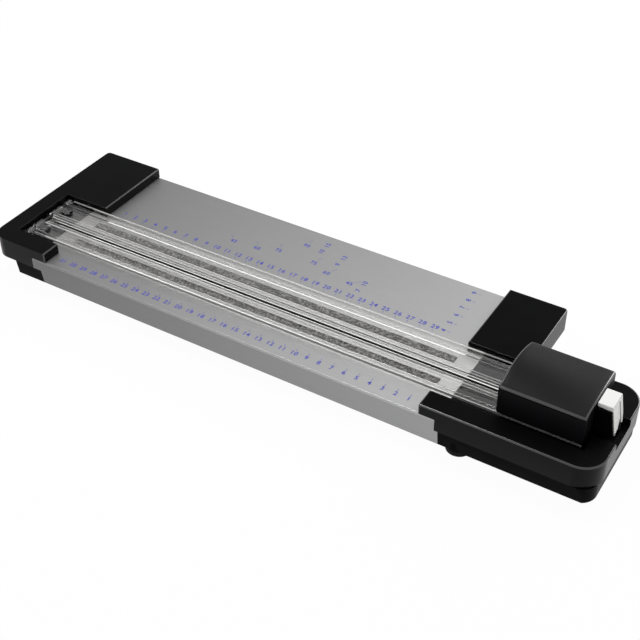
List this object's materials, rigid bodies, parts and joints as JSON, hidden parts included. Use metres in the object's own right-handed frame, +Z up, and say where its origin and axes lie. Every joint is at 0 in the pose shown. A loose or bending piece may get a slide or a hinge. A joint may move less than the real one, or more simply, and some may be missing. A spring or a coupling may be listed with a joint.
{
  "type": "rotary paper trimmer",
  "caption": "Rotary paper trimmer: a flat bed between black end caps, a hinged clear rail with a latch at its free end, and a sliding cutting head whose blade is pressed down to cut.",
  "frame": {"origin": "on the table, under the middle of the trimmer's length and depth", "axes": "+X along the rail towards the parking platform, +Y from the front (the rail's side) to the back, +Z up"},
  "size_m": [0.4984, 0.143, 0.061],
  "materials": {
    "deck_aluminium": "satin",
    "black_plastic": "satin",
    "head_plastic": "satin",
    "zinc_steel": "satin",
    "pin_steel": "polished",
    "spring_steel": "satin",
    "dark_steel": "satin",
    "holder_steel": "satin",
    "blade_steel": "polished",
    "mat_rubber": "matte",
    "grip_rubber": "matte",
    "foot_rubber": "matte",
    "clear_plastic": "gloss",
    "clear_block": "gloss",
    "white_plastic": "satin",
    "slide_plastic": "satin"
  },
  "bodies": {
    "base": {"bed_extrusion": "deck_aluminium", "left_end_cap": "black_plastic", "right_end_cap": "black_plastic", "end_cap_screws": "zinc_steel", "cutting_mat": "mat_rubber", "front_grip_strip": "grip_rubber", "rear_grip_strip": "grip_rubber", "rubber_feet": "foot_rubber", "foot_screws": "zinc_steel", "hinge_pin": "dark_steel", "catch_plate": "zinc_steel", "catch_screws": "zinc_steel"},
    "rail": {"clear_rail": "clear_plastic", "rail_hinge_block": "clear_block", "rail_end_block": "black_plastic", "end_block_screws": "zinc_steel", "latch_pin": "pin_steel", "latch_spring": "spring_steel"},
    "latch": {"latch_lever": "white_plastic", "latch_hook": "dark_steel"},
    "carriage": {"carriage_runner": "black_plastic", "glide_pads": "slide_plastic", "press_springs": "spring_steel"},
    "head": {"head_cover": "head_plastic", "guide_screws": "zinc_steel", "blade_holder": "holder_steel", "holder_screws": "zinc_steel", "blade_axle": "pin_steel"},
    "blade": {"rotary_blade": "blade_steel", "blade_hub": "slide_plastic"}
  },
  "joints": [
    {"name": "rail_lift", "type": "hinge", "parent": "base", "child": "rail", "pos_m": [-0.23185, -0.0264, 0.0301], "axis": [0, -1, 0], "range_deg": [0, 35]},
    {"name": "carriage_slide", "type": "slide", "parent": "rail", "child": "carriage", "axis": [-1, 0, 0], "range_m": [0, 0.392]},
    {"name": "head_press", "type": "slide", "parent": "carriage", "child": "head", "axis": [0, 0, -1], "range_m": [0, 0.003], "stiffness_N_per_m": 600, "springref_m": -0.005, "deforming": ["press_springs"]},
    {"name": "blade_spin", "type": "hinge", "parent": "head", "child": "blade", "pos_m": [0.20075, -0.0264, 0.0413], "axis": [0, 1, 0], "continuous": true},
    {"name": "latch_turn", "type": "hinge", "parent": "rail", "child": "latch", "pos_m": [0.23475, -0.024, 0.0495], "axis": [0, 1, 0], "range_deg": [0, 5], "stiffness_Nm_per_rad": 0.05, "springref_deg": -5.73}
  ]
}
